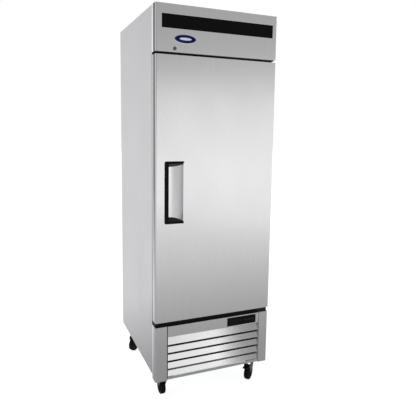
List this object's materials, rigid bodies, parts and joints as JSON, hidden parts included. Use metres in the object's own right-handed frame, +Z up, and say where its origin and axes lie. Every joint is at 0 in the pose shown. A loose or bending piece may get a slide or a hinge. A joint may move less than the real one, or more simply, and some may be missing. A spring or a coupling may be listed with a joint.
{
  "type": "reach in refrigerator",
  "caption": "Upright single-door stainless reach-in refrigerator with wire shelves, recessed pull, louvred base and swivel casters.",
  "frame": {"origin": "on the floor under the centre of the overall bounding box", "axes": "+Z up, -Y is the front with the door, +X to the right seen from the front (hinge side)"},
  "size_m": [0.686, 0.8, 2.108],
  "materials": {
    "brushed_stainless": "vertical brushed satin",
    "cabinet_stainless": "fine satin, a little darker than the front",
    "galvanised_steel": "dull spangled zinc",
    "insulating_foam": "rigid polyurethane foam",
    "black_plastic": "matt moulded",
    "grey_plastic": "fine moulded texture",
    "black_steel": "black powder coat",
    "caster_steel": "dark zinc plate",
    "badge_blue": "gloss enamel",
    "lock_chrome": "polished",
    "controller_black": "smoked gloss",
    "key_grey": "soft touch",
    "gasket_rubber": "soft magnetic seal",
    "white_plastic": "smooth",
    "coated_wire": "white epoxy coated wire",
    "aluminium_fins": "thin fins",
    "fan_plastic": "moulded",
    "motor_steel": "dark enamel",
    "copper": "drawn copper",
    "tread_rubber": "black polyurethane tread"
  },
  "bodies": {
    "cabinet": {"back_panel": "galvanised_steel", "badge_plate": "badge_blue", "base_frame": "galvanised_steel", "breaker_frame": "black_plastic", "caster_plates": "caster_steel", "compartment_deck": "galvanised_steel", "compressor": "black_steel", "condenser_coil": "aluminium_fins", "condenser_fan_motor": "motor_steel", "controller": "controller_black", "cord_gland": "black_plastic", "door_sill": "black_plastic", "evaporation_pan": "galvanised_steel", "evaporator_coil": "aluminium_fins", "evaporator_cover": "white_plastic", "evaporator_fan_motor": "motor_steel", "foam_insulation": "insulating_foam", "grille_panel": "brushed_stainless", "header_cover": "brushed_stainless", "header_strip": "black_plastic", "inner_liner": "brushed_stainless", "led_lamp": "white_plastic", "left_front_post": "brushed_stainless", "left_side_panel": "cabinet_stainless", "louvre_slats": "brushed_stainless", "lower_hinge_bracket": "black_steel", "refrigerant_pipes": "copper", "right_front_post": "brushed_stainless", "right_side_panel": "cabinet_stainless", "shelf_clips": "brushed_stainless", "shelf_pilasters": "brushed_stainless", "top_panel": "galvanised_steel", "upper_hinge_bracket": "black_steel", "wire_shelf_lower": "coated_wire", "wire_shelf_middle": "coated_wire", "wire_shelf_upper": "coated_wire"},
    "door": {"door_outer_skin": "brushed_stainless", "door_foam": "insulating_foam", "door_inner_liner": "brushed_stainless", "door_gasket": "gasket_rubber", "handle_bezel": "black_plastic", "handle_scoop": "brushed_stainless", "handle_end_caps": "grey_plastic", "door_closer": "caster_steel"},
    "lock": {"lock_cylinder": "lock_chrome"},
    "set_key": {"set_key": "key_grey"},
    "up_key": {"up_key": "key_grey"},
    "down_key": {"down_key": "key_grey"},
    "evaporator_fan": {"evaporator_fan": "fan_plastic"},
    "condenser_fan": {"condenser_fan": "fan_plastic"},
    "front_left_fork": {"front_left_caster_fork": "caster_steel"},
    "front_left_wheel": {"front_left_caster_wheel": "tread_rubber"},
    "front_right_fork": {"front_right_caster_fork": "caster_steel"},
    "front_right_wheel": {"front_right_caster_wheel": "tread_rubber"},
    "rear_left_fork": {"rear_left_caster_fork": "caster_steel"},
    "rear_left_wheel": {"rear_left_caster_wheel": "tread_rubber"},
    "rear_right_fork": {"rear_right_caster_fork": "caster_steel"},
    "rear_right_wheel": {"rear_right_caster_wheel": "tread_rubber"},
    "front_left_pedal": {"front_left_brake_pedal": "black_steel"},
    "front_right_pedal": {"front_right_brake_pedal": "black_steel"}
  },
  "joints": [
    {"name": "door_hinge", "type": "hinge", "parent": "cabinet", "child": "door", "pos_m": [0.321, -0.375, 0.461], "axis": [0, 0, 1], "range_deg": [0, 120]},
    {"name": "lock_turn", "type": "hinge", "parent": "cabinet", "child": "lock", "pos_m": [-0.241, -0.397, 1.894], "axis": [0, 1, 0], "range_deg": [0, 90]},
    {"name": "set_key_press", "type": "slide", "parent": "cabinet", "child": "set_key", "axis": [0, 1, 0], "range_m": [0, 0.0015], "stiffness_N_per_m": 300},
    {"name": "up_key_press", "type": "slide", "parent": "cabinet", "child": "up_key", "axis": [0, 1, 0], "range_m": [0, 0.0015], "stiffness_N_per_m": 300},
    {"name": "down_key_press", "type": "slide", "parent": "cabinet", "child": "down_key", "axis": [0, 1, 0], "range_m": [0, 0.0015], "stiffness_N_per_m": 300},
    {"name": "evaporator_fan_spin", "type": "hinge", "parent": "cabinet", "child": "evaporator_fan", "pos_m": [0, 0.09, 1.9525], "axis": [0, 1, 0], "continuous": true},
    {"name": "condenser_fan_spin", "type": "hinge", "parent": "cabinet", "child": "condenser_fan", "pos_m": [-0.055, -0.202, 0.2825], "axis": [0, 1, 0], "continuous": true},
    {"name": "front_left_swivel", "type": "hinge", "parent": "cabinet", "child": "front_left_fork", "pos_m": [-0.277, -0.322, 0.11], "axis": [0, 0, 1], "continuous": true},
    {"name": "front_left_roll", "type": "hinge", "parent": "front_left_fork", "child": "front_left_wheel", "pos_m": [-0.277, -0.294, 0.043], "axis": [1, 0, 0], "continuous": true},
    {"name": "front_left_brake", "type": "hinge", "parent": "front_left_fork", "child": "front_left_pedal", "pos_m": [-0.277, -0.276, 0.092], "axis": [1, 0, 0], "range_deg": [0, 20]},
    {"name": "front_right_swivel", "type": "hinge", "parent": "cabinet", "child": "front_right_fork", "pos_m": [0.277, -0.322, 0.11], "axis": [0, 0, 1], "continuous": true},
    {"name": "front_right_roll", "type": "hinge", "parent": "front_right_fork", "child": "front_right_wheel", "pos_m": [0.25587, -0.34037, 0.043], "axis": [-0.6561, 0.7547, 0], "continuous": true},
    {"name": "front_right_brake", "type": "hinge", "parent": "front_right_fork", "child": "front_right_pedal", "pos_m": [0.24228, -0.35218, 0.092], "axis": [-0.6561, 0.7547, 0], "range_deg": [0, 20]},
    {"name": "rear_left_swivel", "type": "hinge", "parent": "cabinet", "child": "rear_left_fork", "pos_m": [-0.277, 0.284, 0.11], "axis": [0, 0, 1], "continuous": true},
    {"name": "rear_left_roll", "type": "hinge", "parent": "rear_left_fork", "child": "rear_left_wheel", "pos_m": [-0.29845, 0.266, 0.043], "axis": [-0.6428, 0.766, 0], "continuous": true},
    {"name": "rear_right_swivel", "type": "hinge", "parent": "cabinet", "child": "rear_right_fork", "pos_m": [0.277, 0.284, 0.11], "axis": [0, 0, 1], "continuous": true},
    {"name": "rear_right_roll", "type": "hinge", "parent": "rear_right_fork", "child": "rear_right_wheel", "pos_m": [0.26742, 0.31031, 0.043], "axis": [0.9397, 0.342, 0], "continuous": true}
  ]
}
